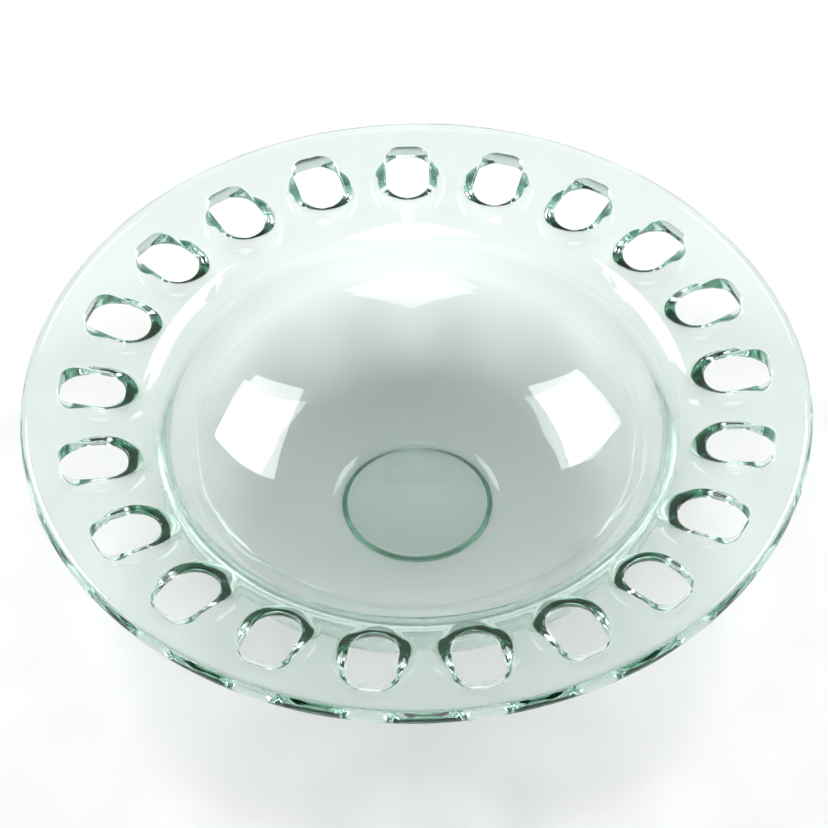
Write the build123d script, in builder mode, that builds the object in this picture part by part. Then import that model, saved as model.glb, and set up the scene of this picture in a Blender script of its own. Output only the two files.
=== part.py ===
from build123d import *
import os
from math import cos, hypot, radians, tan

# Glass bowl with a wide rim that is pierced by a ring of slots, in millimetres.
# One casting of pale green glass: a deep rounded bowl on a flat disc foot, a rim that rises
# gently outwards, and a ring of slots through the rim. The origin is the centre of the foot's
# underside and +Z is up, along the bowl's own axis.

# Driving dimensions
OUTER_DIAMETER = 300.0      # across the rim's outer edge
RIM_CORNER_HEIGHT = 71.5    # rim's top face at the outer edge, before the edge is rounded
RIM_THICKNESS = 6.8
RIM_RISE = 9.5              # degrees that the rim climbs outwards
EDGE_ROUNDING = 3.2         # both corners of the outer edge, which is nearly a half round
WALL_THICKNESS = 5.4        # glass at the top of the bowl's wall
BASE_THICKNESS = 6.6        # from the table to the bowl's floor, in the middle
MOUTH_RADIUS = 94.4         # inside of the bowl, where its wall is upright
UPRIGHT_HEIGHT = 45.0       # where the curved wall turns upright
SHOULDER_ROUNDING = 17.0    # from the rim's top face down into the bowl
UNDER_SHOULDER_ROUNDING = 11.0

FOOT_DIAMETER = 57.0
FOOT_HEIGHT = 1.6
FOOT_ROUNDING = 0.5

SLOT_COUNT = 21
FIRST_SLOT_ANGLE = 90.0     # degrees from +X, so that one slot lies across the +Y axis
SLOT_INNER_RADIUS = 111.0   # from the bowl's axis to a slot's arched inner end
SLOT_OUTER_RADIUS = 136.5   # and to its flatter outer end
SLOT_WIDTH = 18.0           # at the narrowest, near the rim's top face
SLOT_INNER_CORNER = 8.8     # nearly half the width, so that the inner end is an arch
SLOT_OUTER_CORNER = 6.0
SLOT_EDGE_ROUNDING = 0.7    # where a slot's wall meets the rim's top face
CUT_CLEARANCE = 10.0        # how far the slots' cutter stands past the rim's faces

# Under the rim each slot widens downwards, most at its inner end where the rim is lowest
FLARE_HEIGHT = 64.0         # where the slots start to widen
FLARE_ANGLE = 46.0          # degrees from upright
FLARE_END_INSET = 1.5       # the widening stops this far short of a slot's outer end
FLARE_OVERLAP = 2.0         # how far the widening's cutter runs up inside the straight slot
FLARE_DEPTH = 11.0          # height of the widening's cutter

# Worked out from the driving dimensions
outer_radius = OUTER_DIAMETER / 2
outer_wall_radius = MOUTH_RADIUS + WALL_THICKNESS
rise = tan(radians(RIM_RISE))
upright_thickness = RIM_THICKNESS / cos(radians(RIM_RISE))
slot_length = SLOT_OUTER_RADIUS - SLOT_INNER_RADIUS
slot_centre = (SLOT_OUTER_RADIUS + SLOT_INNER_RADIUS) / 2
flare_inset = FLARE_OVERLAP * tan(radians(FLARE_ANGLE))
flare_length = slot_length - FLARE_END_INSET - 2 * flare_inset
flare_centre = slot_centre - FLARE_END_INSET / 2


def rim_top(radius):
    """Height of the rim's top face at a distance from the axis."""
    return RIM_CORNER_HEIGHT - (outer_radius - radius) * rise


def rim_underside(radius):
    """Height of the rim's underside at a distance from the axis."""
    return rim_top(radius) - upright_thickness


def upper_corner(section, radius):
    """The highest corner of the half section at a distance from the axis."""
    nearby = section.vertices().filter_by_position(Axis.X, radius - 0.1, radius + 0.1)
    return nearby.sort_by(Axis.Y)[-1]


def is_slot_wall(face):
    """True for the upright faces that the slots leave in the rim."""
    middle = face.center()
    upright = abs(face.normal_at(middle).Z) < 0.05
    return upright and outer_wall_radius < hypot(middle.X, middle.Y) < outer_radius - RIM_THICKNESS


def is_top_edge(edge):
    """True for an edge of a slot's wall that lies in the rim's top face."""
    middle = edge @ 0.5
    return abs(middle.Z - rim_top(hypot(middle.X, middle.Y))) < 0.1


cutter_top = RIM_CORNER_HEIGHT + CUT_CLEARANCE
cutter_bottom = rim_underside(SLOT_INNER_RADIUS) - CUT_CLEARANCE

with BuildPart() as glass_bowl:
    # Half section: wall and rim are one outline, and the foot's disc is added under it
    with BuildSketch(Plane.XZ) as half_section:
        with BuildLine():
            outer_wall = EllipticalCenterArc(
                (0, UPRIGHT_HEIGHT), outer_wall_radius, UPRIGHT_HEIGHT - FOOT_HEIGHT, 270, arc_size=90
            )
            inner_wall = EllipticalCenterArc(
                (0, UPRIGHT_HEIGHT), MOUTH_RADIUS, UPRIGHT_HEIGHT - BASE_THICKNESS, 270, arc_size=90
            )
            Polyline(
                outer_wall @ 1,
                (outer_wall_radius, rim_underside(outer_wall_radius)),
                (outer_radius, rim_underside(outer_radius)),
                (outer_radius, rim_top(outer_radius)),
                (MOUTH_RADIUS, rim_top(MOUTH_RADIUS)),
                inner_wall @ 1,
            )
            Line(outer_wall @ 0, inner_wall @ 0)
        make_face()
        fillet(half_section.vertices().group_by(Axis.X)[-1], EDGE_ROUNDING)
        fillet(upper_corner(half_section, MOUTH_RADIUS), SHOULDER_ROUNDING)
        fillet(upper_corner(half_section, outer_wall_radius), UNDER_SHOULDER_ROUNDING)
        Rectangle(FOOT_DIAMETER / 2, BASE_THICKNESS, align=(Align.MIN, Align.MIN))
        foot_corner = half_section.vertices().group_by(Axis.Y)[0].sort_by(Axis.X)[-1]
        fillet(foot_corner, FOOT_ROUNDING)
    revolve(axis=Axis.Z)

    # The slots' outlines, long way across the rim, cut straight down through it
    with BuildSketch(Plane.XY.offset(cutter_top)) as slots:
        with PolarLocations(slot_centre, SLOT_COUNT, start_angle=FIRST_SLOT_ANGLE):
            Rectangle(slot_length, SLOT_WIDTH)
        fillet(slots.vertices().filter_by(lambda v: hypot(v.X, v.Y) < slot_centre), SLOT_INNER_CORNER)
        fillet(slots.vertices().filter_by(lambda v: hypot(v.X, v.Y) > slot_centre), SLOT_OUTER_CORNER)
    extrude(amount=cutter_bottom - cutter_top, mode=Mode.SUBTRACT)

    # The widening under each slot: a narrower outline inside the slot, growing as it goes down
    with BuildSketch(Plane.XY.offset(FLARE_HEIGHT + FLARE_OVERLAP)) as flares:
        with PolarLocations(flare_centre, SLOT_COUNT, start_angle=FIRST_SLOT_ANGLE):
            Rectangle(flare_length, SLOT_WIDTH - 2 * flare_inset)
        inner_corners = flares.vertices().filter_by(lambda v: hypot(v.X, v.Y) < flare_centre)
        fillet(inner_corners, SLOT_INNER_CORNER - flare_inset)
        outer_corners = flares.vertices().filter_by(lambda v: hypot(v.X, v.Y) > flare_centre)
        fillet(outer_corners, SLOT_OUTER_CORNER - flare_inset)
    extrude(amount=-FLARE_DEPTH, taper=-FLARE_ANGLE, mode=Mode.SUBTRACT)

    # The glass is rounded over where a slot's wall meets the rim's top face
    slot_walls = glass_bowl.faces().filter_by(is_slot_wall)
    fillet(slot_walls.edges().filter_by(is_top_edge), SLOT_EDGE_ROUNDING)

glass_bowl.part.label = "glass_bowl"
os.makedirs("parts", exist_ok=True)
export_step(glass_bowl.part, "parts/glass_bowl.step")
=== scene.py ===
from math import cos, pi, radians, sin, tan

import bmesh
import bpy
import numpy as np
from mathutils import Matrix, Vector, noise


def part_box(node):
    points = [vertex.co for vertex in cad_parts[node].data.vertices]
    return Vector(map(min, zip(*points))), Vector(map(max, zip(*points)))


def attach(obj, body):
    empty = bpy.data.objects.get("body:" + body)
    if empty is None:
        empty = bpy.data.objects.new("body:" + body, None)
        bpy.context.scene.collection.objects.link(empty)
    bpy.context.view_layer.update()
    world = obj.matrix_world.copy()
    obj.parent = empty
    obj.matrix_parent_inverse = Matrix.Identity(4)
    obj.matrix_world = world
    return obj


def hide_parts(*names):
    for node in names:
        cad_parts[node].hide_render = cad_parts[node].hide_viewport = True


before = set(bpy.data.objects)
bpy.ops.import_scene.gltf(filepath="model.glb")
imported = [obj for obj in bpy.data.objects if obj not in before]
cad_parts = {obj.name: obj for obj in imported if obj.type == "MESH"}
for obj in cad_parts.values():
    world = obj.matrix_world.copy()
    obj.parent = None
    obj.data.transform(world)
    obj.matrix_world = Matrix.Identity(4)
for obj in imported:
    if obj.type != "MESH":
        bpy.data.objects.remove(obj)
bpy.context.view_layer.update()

# Looks for the slotted-rim glass bowl: its finished glass, a pale floor, soft light and a camera.
#
# Everything is in metres in the CAD model's frame: the origin is the middle of the foot's
# underside, +Z is up and one slot lies across +Y. The glass is one closed mesh. Its section is two
# curves, the top skin and the under skin, and a ring of sectors, one to a slot, carries the rim.

MM = 0.001

# ---- Sizes of the bowl: the CAD model's, and a hollow under the foot --------------------------

(LOW_X, _, _), (HIGH_X, _, HIGH_Z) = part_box("glass_bowl")
EDGE_RADIUS = (HIGH_X - LOW_X) / 2
RIM_CORNER_HEIGHT = HIGH_Z + 0.58 * MM      # before the edge is rounded
RIM_THICKNESS = 6.8 * MM
RIM_RISE = radians(9.5)
EDGE_ROUNDING = 3.2 * MM
MOUTH_RADIUS = 94.4 * MM
OUTER_WALL_RADIUS = 99.8 * MM
UPRIGHT_HEIGHT = 45.0 * MM
BASE_THICKNESS = 6.6 * MM
SHOULDER_ROUNDING = 17.0 * MM
UNDER_SHOULDER_ROUNDING = 11.0 * MM
FOOT_RADIUS = 28.5 * MM
FOOT_HEIGHT = 1.6 * MM
FOOT_ROUNDING = 0.5 * MM
FOOT_HOLLOW = 1.0 * MM          # how far the middle of the foot stands off the table
FOOT_RING = 25.0 * MM           # inside of the ring that the bowl stands on
FLOOR_GAP = 0.02 * MM
RIM_STRAIGHT = 12.0 * MM        # the last stretch of both skins, which ends at the rim's edge
FOOT_CENTRE = 2.0 * MM          # the flat spot round the axis, under the foot

SLOT_COUNT = 21
SLOT_INNER_RADIUS = 111.0 * MM
SLOT_OUTER_RADIUS = 136.5 * MM
SLOT_WIDTH = 18.0 * MM
SLOT_INNER_CORNER = 8.8 * MM
SLOT_OUTER_CORNER = 6.0 * MM
SLOT_MIDDLE = (SLOT_OUTER_RADIUS + SLOT_INNER_RADIUS) / 2
SLOT_HALF_LENGTH = (SLOT_OUTER_RADIUS - SLOT_INNER_RADIUS) / 2
SLOT_HALF_WIDTH = SLOT_WIDTH / 2

# A slot is narrowest near the rim's top face and curves outwards under the rim. Each pair is how
# far that reaches across the glass, and its share of the glass's thickness
ROUNDING_INNER = (0.8 * MM, 0.13)
ROUNDING_OUTER = (0.3 * MM, 0.05)
FLARE_INNER = (6.5 * MM, 0.9)
FLARE_OUTER = (0.4 * MM, 0.3)
FLARE_POWER = 1.2               # 1 is a quarter round, 2 a straight slope
FLARE_RUN = (0.5, 0.95)         # shares of a slot's length between which the flare dies away

# No two slots came out of the mould quite alike: the most that each one differs
SLOT_SHIFT = 0.35 * MM
SLOT_STRETCH = 0.025
FLARE_CHANGE = 0.12
SLOT_SEED = 7

# ---- How finely the mesh is cut ---------------------------------------------------------------

ARC_STEPS = 20          # along a sector's inner and outer arcs
SIDE_STEPS = 18         # along a sector's straight sides
GRID_RINGS = 8          # from a slot's rounding to its sector's edge
ROUND_RINGS = 7         # over a slot's rounded top edge
FLARE_RINGS = 10        # down a slot's flared wall
WALL_RINGS = 2
GRID_SPREAD = 0.75      # below 1 puts the grid's rings closer together near the slot
EDGE_RINGS = 14
BOWL_RINGS = 34
BOWL_START = 3.0 * MM           # the innermost ring, round the axis
FOOT_STEPS = (-0.6, 0, 0.2, 0.4, 0.6, 0.785, 1.1, 1.5, 2.0)    # millimetres past the foot's corner
FOOT_STEPS_ROOM = 1.6 * MM      # even rings closer than this to those are left out
AROUND = SLOT_COUNT * ARC_STEPS
SECTOR_IN_TOP = 98.5 * MM       # where the rim's sectors begin, on the shoulder
SECTOR_UNDER_DEPTH = 9.0 * MM   # and how far they run down the wall under the rim
SECTOR_OUT = 141.5 * MM


def rim_top(r):
    return RIM_CORNER_HEIGHT - (EDGE_RADIUS - r) * tan(RIM_RISE)


def rim_under(r):
    return rim_top(r) - RIM_THICKNESS / cos(RIM_RISE)


def arc(centre, radius, start, end, count=60, radius_z=None):
    """Points (r, z) along an arc, with angles in radians from the +r direction."""
    t = np.linspace(start, end, count)
    return np.c_[centre[0] + radius * np.cos(t), centre[1] + (radius_z or radius) * np.sin(t)]


def shoulder(wall_radius, rounding, height):
    """The arc that turns from an upright wall outwards into the rim's sloping face."""
    r = wall_radius + rounding
    centre = (r, height(r) - rounding / cos(RIM_RISE))
    return arc(centre, rounding, pi, pi / 2 + RIM_RISE)


class Skin:
    """One side of the glass from the axis to the rim's edge, measured along its own curve."""

    def __init__(self, *stretches):
        points = np.vstack(stretches)
        steps = np.hypot(*np.diff(points, axis=0).T)
        keep = np.r_[True, steps > 1e-9]
        self.points = points[keep]
        self.along = np.r_[0, np.cumsum(np.hypot(*np.diff(self.points, axis=0).T))]

    def at(self, s):
        """Radius and height at distances s along the curve from the axis."""
        return (
            np.interp(s, self.along, self.points[:, 0]),
            np.interp(s, self.along, self.points[:, 1]),
        )

    def where(self, r):
        """Distance along the curve to radius r, which is on the rim or its shoulder."""
        return np.interp(r, self.points[:, 0], self.along)


def smooth_step(t):
    t = np.clip(t, 0, 1)
    return t * t * (3 - 2 * t)


def line(a, b, count=40):
    return np.linspace(a, b, count)


def foot_hollow(count=40):
    """The shallow hollow under the foot, from near the axis to the ring it stands on."""
    r = np.linspace(FOOT_CENTRE, FOOT_RING, count)
    return np.c_[r, FOOT_HOLLOW * (1 - smooth_step((r / FOOT_RING - 0.1) / 0.9))]


def foot_profile():
    """From the middle of the foot's underside round its edge to the bowl's wall."""
    depth = UPRIGHT_HEIGHT - FOOT_HEIGHT
    join = np.arccos(FOOT_RADIUS / OUTER_WALL_RADIUS)
    side_top = UPRIGHT_HEIGHT - depth * np.sin(join)
    corner = (FOOT_RADIUS - FOOT_ROUNDING, FOOT_ROUNDING)
    return (
        line((0, FOOT_HOLLOW), (FOOT_CENTRE, FOOT_HOLLOW), 3),
        foot_hollow(),
        line((FOOT_RING, 0), (corner[0], 0), 5),
        arc(corner, FOOT_ROUNDING, -pi / 2, 0, 12),
        line((FOOT_RADIUS, FOOT_ROUNDING), (FOOT_RADIUS, side_top), 6),
        arc((0, UPRIGHT_HEIGHT), OUTER_WALL_RADIUS, -join, 0, 400, depth),
    )


RIM_STRAIGHT_START = EDGE_RADIUS - RIM_STRAIGHT
TOP = Skin(
    arc((0, UPRIGHT_HEIGHT), MOUTH_RADIUS, -pi / 2, 0, 500, UPRIGHT_HEIGHT - BASE_THICKNESS),
    shoulder(MOUTH_RADIUS, SHOULDER_ROUNDING, rim_top),
    line((RIM_STRAIGHT_START, rim_top(RIM_STRAIGHT_START)), (EDGE_RADIUS, RIM_CORNER_HEIGHT)),
)
UNDER = Skin(
    *foot_profile(),
    shoulder(OUTER_WALL_RADIUS, UNDER_SHOULDER_ROUNDING, rim_under),
    line((RIM_STRAIGHT_START, rim_under(RIM_STRAIGHT_START)), (EDGE_RADIUS, rim_under(EDGE_RADIUS))),
)


def slot_outline(count=480):
    """A slot's outline as (radial, tangential) points about its middle, and its outward normals."""
    corners = (
        (SLOT_HALF_LENGTH, SLOT_HALF_WIDTH, SLOT_OUTER_CORNER, 0.0),
        (-SLOT_HALF_LENGTH, SLOT_HALF_WIDTH, SLOT_INNER_CORNER, pi / 2),
        (-SLOT_HALF_LENGTH, -SLOT_HALF_WIDTH, SLOT_INNER_CORNER, pi),
        (SLOT_HALF_LENGTH, -SLOT_HALF_WIDTH, SLOT_OUTER_CORNER, 3 * pi / 2),
    )
    points, normals = [], []
    for u, v, rounding, start in corners:
        cu, cv = u - np.sign(u) * rounding, v - np.sign(v) * rounding
        for t in np.linspace(start, start + pi / 2, 40):
            points.append((cu + rounding * cos(t), cv + rounding * sin(t)))
            normals.append((cos(t), sin(t)))
    points, normals = np.array(points), np.array(normals)
    closed = np.vstack([points, points[:1]])
    closed_normals = np.vstack([normals, normals[:1]])
    along = np.r_[0, np.cumsum(np.hypot(*np.diff(closed, axis=0).T))]
    even = np.linspace(0, along[-1], count, endpoint=False)
    dense = np.c_[np.interp(even, along, closed[:, 0]), np.interp(even, along, closed[:, 1])]
    dense_n = np.c_[
        np.interp(even, along, closed_normals[:, 0]), np.interp(even, along, closed_normals[:, 1])
    ]
    return dense, dense_n / np.linalg.norm(dense_n, axis=1)[:, None]


def sector_border(s_in, s_out):
    """(distance along the skin, angle from the sector's middle) round a sector's border."""
    half = pi / SLOT_COUNT
    arc_way = np.linspace(-half, half, ARC_STEPS, endpoint=False)
    side_way = np.linspace(s_in, s_out, SIDE_STEPS, endpoint=False)
    side_back = np.linspace(s_out, s_in, SIDE_STEPS, endpoint=False)
    return np.vstack(
        [
            np.c_[np.full(ARC_STEPS, s_in), arc_way],
            np.c_[side_way, np.full(SIDE_STEPS, half)],
            np.c_[np.full(ARC_STEPS, s_out), -arc_way],
            np.c_[side_back, np.full(SIDE_STEPS, -half)],
        ]
    )


def match_outline(border, outline, normals):
    """For each border point, the outline's point and normal in its direction from the slot."""
    share = (border[:, 0] - border[:, 0].min()) / np.ptp(border[:, 0])
    r = SECTOR_IN_TOP + share * (SECTOR_OUT - SECTOR_IN_TOP)
    u = r * np.cos(border[:, 1]) - SLOT_MIDDLE
    v = r * np.sin(border[:, 1])
    want = np.arctan2(v, u) % (2 * pi)
    have = np.arctan2(outline[:, 1], outline[:, 0]) % (2 * pi)
    order = np.argsort(have)
    have, points, n = have[order], outline[order], normals[order]
    have3 = np.r_[have - 2 * pi, have, have + 2 * pi]
    points3, n3 = np.vstack([points] * 3), np.vstack([n] * 3)
    p = np.c_[np.interp(want, have3, points3[:, 0]), np.interp(want, have3, points3[:, 1])]
    m = np.c_[np.interp(want, have3, n3[:, 0]), np.interp(want, have3, n3[:, 1])]
    return p, m / np.linalg.norm(m, axis=1)[:, None]


def under_sector_start():
    return UNDER.where(OUTER_WALL_RADIUS + UNDER_SHOULDER_ROUNDING) - SECTOR_UNDER_DEPTH


def sector_rings(shift, stretch, flare_change):
    """Rings (radius, angle, height) of a sector, from its top border through the slot and under."""
    outline, outline_n = slot_outline()
    outline = outline * (1, stretch) + shift
    top_border = sector_border(TOP.where(SECTOR_IN_TOP), TOP.where(SECTOR_OUT))
    under_border = sector_border(under_sector_start(), UNDER.where(SECTOR_OUT))
    p, n = match_outline(top_border, outline, outline_n)
    run = (p[:, 0] / SLOT_HALF_LENGTH + 1) / 2
    outerness = smooth_step((run - FLARE_RUN[0]) / (FLARE_RUN[1] - FLARE_RUN[0]))

    def easing(inner, outer):
        return inner + (outer - inner) * outerness

    across, top_share = (easing(*pair) for pair in zip(ROUNDING_INNER, ROUNDING_OUTER))
    under_across, under_share = (easing(*pair) for pair in zip(FLARE_INNER, FLARE_OUTER))
    under_across = under_across * flare_change
    down, up = top_share * RIM_THICKNESS, under_share * RIM_THICKNESS

    def ring(offset):
        q = p + n * np.broadcast_to(offset, len(p))[:, None]
        x, y = SLOT_MIDDLE + q[:, 0], q[:, 1]
        return np.hypot(x, y), np.arctan2(y, x)

    def grid(skin, border, start):
        """Rings from the border to a start ring, closer together near the slot."""
        r0, t0 = start
        s0 = skin.where(r0)
        rings = []
        for k in range(GRID_RINGS):
            w = (k / GRID_RINGS) ** GRID_SPREAD
            s = border[:, 0] * (1 - w) + s0 * w
            t = border[:, 1] * (1 - w) + t0 * w
            r, z = skin.at(s)
            rings.append((r, t, z))
        return rings

    rings = grid(TOP, top_border, ring(across))
    for k in range(ROUND_RINGS + 1):
        a = pi / 2 * k / ROUND_RINGS
        r, t = ring(across * (1 - sin(a)))
        z = TOP.at(TOP.where(r))[1] - down * (1 - cos(a))
        rings.append((r, t, z))
    r, t, z_low_round = rings[-1]
    under_z = UNDER.at(UNDER.where(r))[1] + up
    for k in range(1, WALL_RINGS + 1):
        w = k / (WALL_RINGS + 1)
        rings.append((r, t, z_low_round * (1 - w) + under_z * w))
    for k in range(FLARE_RINGS + 1):
        a = pi / 2 * k / FLARE_RINGS
        r, t = ring(under_across * (1 - max(cos(a), 0) ** FLARE_POWER))
        z = UNDER.at(UNDER.where(r))[1] + up * (1 - sin(a) ** FLARE_POWER)
        rings.append((r, t, z))
    rings += grid(UNDER, under_border, ring(under_across))[::-1]
    return rings


def turned(rings, angle):
    """Rings of (radius, angle, height) as points in space, turned about the axis."""
    return [np.c_[r * np.cos(t + angle), r * np.sin(t + angle), z] for r, t, z in rings]


def strips(rows, first, closed):
    """Four-sided faces between neighbouring rows of points numbered from first."""
    count = len(rows[0])
    faces = []
    for j in range(len(rows) - 1):
        a, b = first + j * count, first + (j + 1) * count
        for i in range(count if closed else count - 1):
            k = (i + 1) % count
            faces.append((a + i, a + k, b + k, b + i))
    return faces


def glass_points():
    """All points and faces of the glass, with doubled points where its regions meet."""
    points, faces = [], []

    def add(rows):
        first = sum(len(p) for p in points)
        faces.extend(strips(rows, first, True))
        points.extend(rows)
        return first

    chance = np.random.RandomState(SLOT_SEED)
    for k in range(SLOT_COUNT):
        shift, (stretch, change) = chance.uniform(-1, 1, 2), chance.uniform(-1, 1, 2)
        rings = sector_rings(shift * SLOT_SHIFT, 1 + stretch * SLOT_STRETCH, 1 + change * FLARE_CHANGE)
        add(turned(rings, pi / 2 + 2 * pi * k / SLOT_COUNT))

    around = pi / 2 - pi / SLOT_COUNT + np.arange(AROUND) * 2 * pi / AROUND

    def circles(rs, zs):
        x, y = np.cos(around), np.sin(around)
        return [np.c_[r * x, r * y, np.full(AROUND, z)] for r, z in zip(rs, zs)]

    # The rim's edge, from the top sectors round to the under sectors
    top_line = line((SECTOR_OUT, rim_top(SECTOR_OUT)), edge_arc(True)[0], 5)
    under_line = line(edge_arc(False)[-1], (SECTOR_OUT, rim_under(SECTOR_OUT)), 5)
    edge = np.vstack([top_line[:-1], edge_arc(True), edge_arc(False), under_line[1:]])
    add(circles(edge[:, 0], edge[:, 1]))

    # The bowl inside and outside, each closed at the axis by one point
    for skin, s_end in ((TOP, TOP.where(SECTOR_IN_TOP)), (UNDER, under_sector_start())):
        s = bowl_steps(skin, s_end)
        first = add(circles(*skin.at(s)))
        centre = sum(len(p) for p in points)
        points.append(np.array([[0, 0, skin.points[0, 1]]]))
        for i in range(AROUND):
            faces.append((centre, first + i, first + (i + 1) % AROUND))
    return np.vstack(points), faces


def edge_arc(upper):
    """Half of the rim's rounded edge as (r, z) points, going down."""
    a = RIM_RISE
    r = EDGE_RADIUS - EDGE_ROUNDING
    if upper:
        centre = (r, rim_top(r) - EDGE_ROUNDING / cos(a))
        return arc(centre, EDGE_ROUNDING, pi / 2 + a, 0, EDGE_RINGS // 2)
    centre = (r, rim_under(r) + EDGE_ROUNDING / cos(a))
    return arc(centre, EDGE_ROUNDING, 0, -pi / 2 + a, EDGE_RINGS // 2)


def bowl_steps(skin, s_end):
    """Distances along a skin for the bowl's rings: even, with more round the foot's corner."""
    steps = np.linspace(BOWL_START, s_end, BOWL_RINGS)
    if skin is UNDER:
        corner = FOOT_RADIUS - FOOT_ROUNDING
        near_foot = corner + np.array(FOOT_STEPS) * MM
        steps = steps[np.abs(steps - near_foot.mean()) > FOOT_STEPS_ROOM]
        steps = np.sort(np.r_[steps, near_foot])
    return steps


# ---- The glass: its surface and its material --------------------------------------------------

WAVES = ((1 / 0.045, 0.32 * MM), (1 / 0.016, 0.07 * MM))   # waves per metre and height
WAVE_PLACE = (3.1, 7.7, 1.9)
CALM_HEIGHT = 6.0 * MM          # the waves fade away below this, where the foot stands
MERGE_DISTANCE = 0.002 * MM
GLASS_TINT = (0.98, 0.99, 0.985, 1)
GLASS_BENDING = 1.52            # index of refraction
GLASS_DEPTH_COLOUR = (0.18, 0.58, 0.44, 1)      # the green of a long way through the glass
GLASS_DEPTH_DENSITY = 27.0
LIGHT_BOUNCES = 48              # light runs a long way inside the glass before it comes out


def make_glass():
    points, faces = glass_points()
    mesh = bpy.data.meshes.new("glass_bowl_finished")
    mesh.from_pydata(points.tolist(), [], faces)
    shape = bmesh.new()
    shape.from_mesh(mesh)
    bmesh.ops.remove_doubles(shape, verts=shape.verts, dist=MERGE_DISTANCE)
    bmesh.ops.recalc_face_normals(shape, faces=shape.faces)
    shape.normal_update()
    moves = []
    for v in shape.verts:
        lift = sum(h * noise.noise(v.co * f + Vector(WAVE_PLACE)) for f, h in WAVES)
        moves.append(v.normal * lift * smooth_step(v.co.z / CALM_HEIGHT))
    for v, move in zip(shape.verts, moves):
        v.co += move
    shape.to_mesh(mesh)
    shape.free()
    mesh.shade_smooth()
    glass = bpy.data.objects.new("glass_bowl_finished", mesh)
    bpy.context.collection.objects.link(glass)
    return glass


def glass_material():
    mat = bpy.data.materials.new("green_glass")
    mat.use_nodes = True
    nodes, links = mat.node_tree.nodes, mat.node_tree.links
    shader = nodes["Principled BSDF"]
    shader.inputs["Base Color"].default_value = GLASS_TINT
    shader.inputs["Transmission Weight"].default_value = 1.0
    shader.inputs["Roughness"].default_value = 0.0
    shader.inputs["IOR"].default_value = GLASS_BENDING
    volume = nodes.new("ShaderNodeVolumeAbsorption")
    volume.inputs["Color"].default_value = GLASS_DEPTH_COLOUR
    volume.inputs["Density"].default_value = GLASS_DEPTH_DENSITY
    links.new(volume.outputs["Volume"], nodes["Material Output"].inputs["Volume"])
    return mat


# ---- The floor and the studio's light ----------------------------------------------------------

FLOOR_SIZE = 4.0
FLOOR_COLOUR = (0.93, 0.93, 0.93, 1)
FLOOR_ROUGHNESS = 0.9
MIDDLE = (0, 0, 0.05)
SOFTBOX_SIDE, SOFTBOX_BACK, SOFTBOX_HEIGHT = 0.78, 0.5, 1.0
SOFTBOX_SIZE = (0.6, 0.6)
SOFTBOX_POWER = 9.0
FILL_PLACE = (0, -1.25, 0.8)
FILL_TARGET = (0, -0.25, 0)
FILL_SIZE = (1.0, 1.0)
FILL_POWER = 10.5

# The studio is white except for a dark part overhead that leans towards the viewer
DARK_WAY = (0, -0.45, 0.893)        # the way to the middle of the dark part
DARK_EDGE, DARK_CORE = 0.3, 0.75    # cosines from that way where it starts and is darkest
STUDIO_LIGHT, STUDIO_DARK = 0.87, 0.03


def floor():
    bpy.ops.mesh.primitive_plane_add(size=FLOOR_SIZE, location=(0, 0, -FLOOR_GAP))
    plane = bpy.context.object
    plane.name = "floor"
    mat = bpy.data.materials.new("floor")
    mat.use_nodes = True
    shader = mat.node_tree.nodes["Principled BSDF"]
    shader.inputs["Base Color"].default_value = FLOOR_COLOUR
    shader.inputs["Roughness"].default_value = FLOOR_ROUGHNESS
    plane.data.materials.append(mat)


def area_light(name, place, target, size, power):
    data = bpy.data.lights.new(name, "AREA")
    data.shape = "RECTANGLE"
    data.size, data.size_y = size
    data.energy = power
    light = bpy.data.objects.new(name, data)
    light.location = place
    aim = (Vector(target) - Vector(place)).to_track_quat("-Z", "Y").to_matrix()
    light.rotation_euler = (aim @ Matrix.Rotation(pi / 4, 3, "Z")).to_euler()
    bpy.context.collection.objects.link(light)


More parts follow.
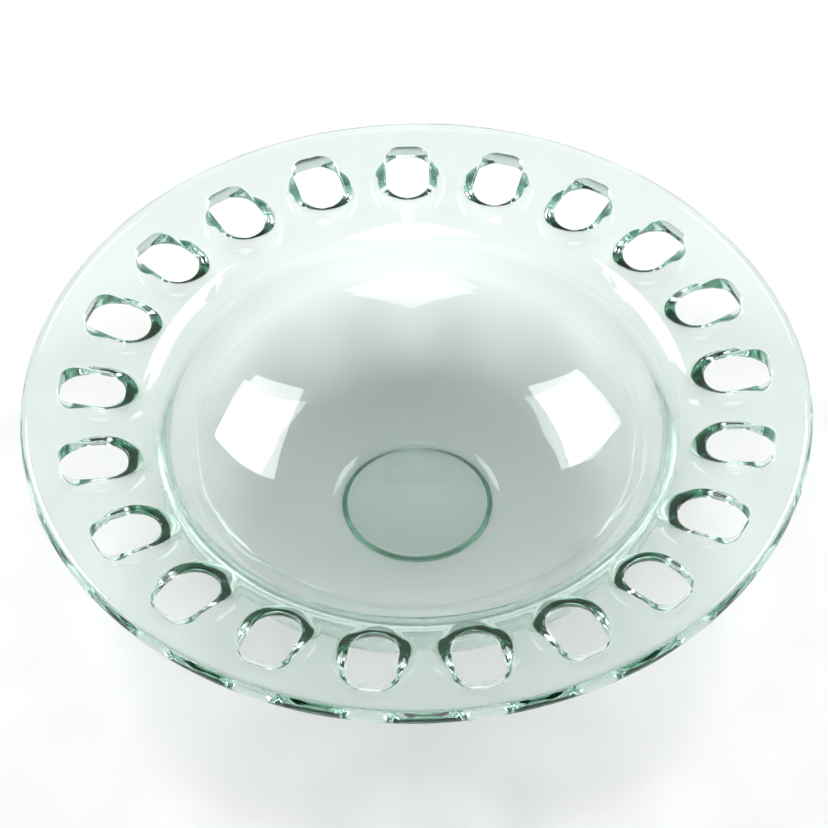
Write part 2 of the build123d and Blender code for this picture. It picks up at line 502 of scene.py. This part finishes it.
def studio_world():
    world = bpy.data.worlds.new("studio")
    bpy.context.scene.world = world
    world.use_nodes = True
    nodes, links = world.node_tree.nodes, world.node_tree.links
    way = nodes.new("ShaderNodeTexCoord")
    towards = nodes.new("ShaderNodeVectorMath")
    towards.operation = "DOT_PRODUCT"
    towards.inputs[1].default_value = DARK_WAY
    fade = nodes.new("ShaderNodeMapRange")
    fade.interpolation_type = "SMOOTHSTEP"
    ranges = (DARK_EDGE, DARK_CORE, STUDIO_LIGHT, STUDIO_DARK)
    for name, value in zip(("From Min", "From Max", "To Min", "To Max"), ranges):
        fade.inputs[name].default_value = value
    background = nodes["Background"]
    background.inputs["Color"].default_value = (1, 1, 1, 1)
    links.new(way.outputs["Generated"], towards.inputs[0])
    links.new(towards.outputs["Value"], fade.inputs["Value"])
    links.new(fade.outputs["Result"], background.inputs["Strength"])


def lighting():
    studio_world()
    for name, side in (("softbox_left", -1), ("softbox_right", 1)):
        place = (side * SOFTBOX_SIDE, SOFTBOX_BACK, SOFTBOX_HEIGHT)
        area_light(name, place, MIDDLE, SOFTBOX_SIZE, SOFTBOX_POWER)
    area_light("fill", FILL_PLACE, FILL_TARGET, FILL_SIZE, FILL_POWER)


# ---- The camera, slanting down at the bowl ------------------------------------------------------

VIEW_DISTANCE = 7.0 * EDGE_RADIUS
VIEW_SLANT = radians(48.4)          # above level
VIEW_TURN = radians(-0.9)           # the slot across +Y stands a little off the middle
VIEW_ROLL = radians(-0.82)
VIEW_LENS = 120.1
SENSOR_WIDTH = 36
VIEW_SHIFT = (-0.0022, -0.0231)
EDGE_MIDDLE_HEIGHT = rim_top(EDGE_RADIUS) - RIM_THICKNESS / 2


def camera():
    data = bpy.data.cameras.new("camera")
    data.sensor_width = SENSOR_WIDTH
    data.lens = VIEW_LENS
    data.shift_x, data.shift_y = VIEW_SHIFT
    cam = bpy.data.objects.new("camera", data)
    aim = Vector((0, 0, EDGE_MIDDLE_HEIGHT))
    back = Matrix.Rotation(VIEW_TURN, 3, "Z") @ Vector((0, -cos(VIEW_SLANT), sin(VIEW_SLANT)))
    look = (-back).to_track_quat("-Z", "Y").to_matrix() @ Matrix.Rotation(VIEW_ROLL, 3, "Z")
    cam.matrix_world = Matrix.Translation(aim + back * VIEW_DISTANCE) @ look.to_4x4()
    bpy.context.collection.objects.link(cam)
    bpy.context.scene.camera = cam


camera()
glass = make_glass()
glass.data.materials.append(glass_material())
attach(glass, "root")
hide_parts("glass_bowl")
floor()
lighting()
scene = bpy.context.scene
scene.view_settings.view_transform = "Standard"
scene.cycles.max_bounces = LIGHT_BOUNCES
scene.cycles.transmission_bounces = LIGHT_BOUNCES
scene.cycles.glossy_bounces = LIGHT_BOUNCES
